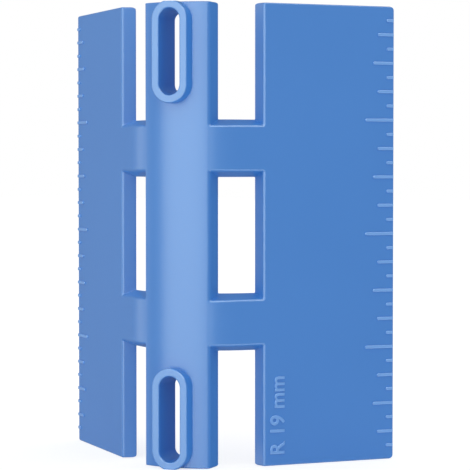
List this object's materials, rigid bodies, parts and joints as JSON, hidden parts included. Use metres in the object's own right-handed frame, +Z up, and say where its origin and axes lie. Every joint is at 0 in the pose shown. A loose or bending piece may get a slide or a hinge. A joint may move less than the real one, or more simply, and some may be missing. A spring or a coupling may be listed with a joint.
{
  "type": "angle marking gauge",
  "caption": "Moulded corner gauge for a rounded outside wall corner, with two ruled wings, open notches and windows, and raised pencil slots on its spine.",
  "frame": {"origin": "middle of the gauge's box in X and Y, at its bottom end, between the two wings", "axes": "+Z up the wall corner, along the rule; -Y out of the corner, towards the collars; +X towards the right wing as seen from outside"},
  "size_m": [0.0798, 0.0368, 0.1016],
  "materials": {
    "blue_moulding": "satin moulded ABS"
  },
  "bodies": {
    "root": {"spine": "blue_moulding", "left_wing": "blue_moulding", "right_wing": "blue_moulding", "upper_left_bridge": "blue_moulding", "lower_left_bridge": "blue_moulding", "upper_right_bridge": "blue_moulding", "lower_right_bridge": "blue_moulding", "upper_slot_collar": "blue_moulding", "lower_slot_collar": "blue_moulding", "left_scale_ribs": "blue_moulding", "right_scale_ribs": "blue_moulding"}
  },
  "joints": []
}
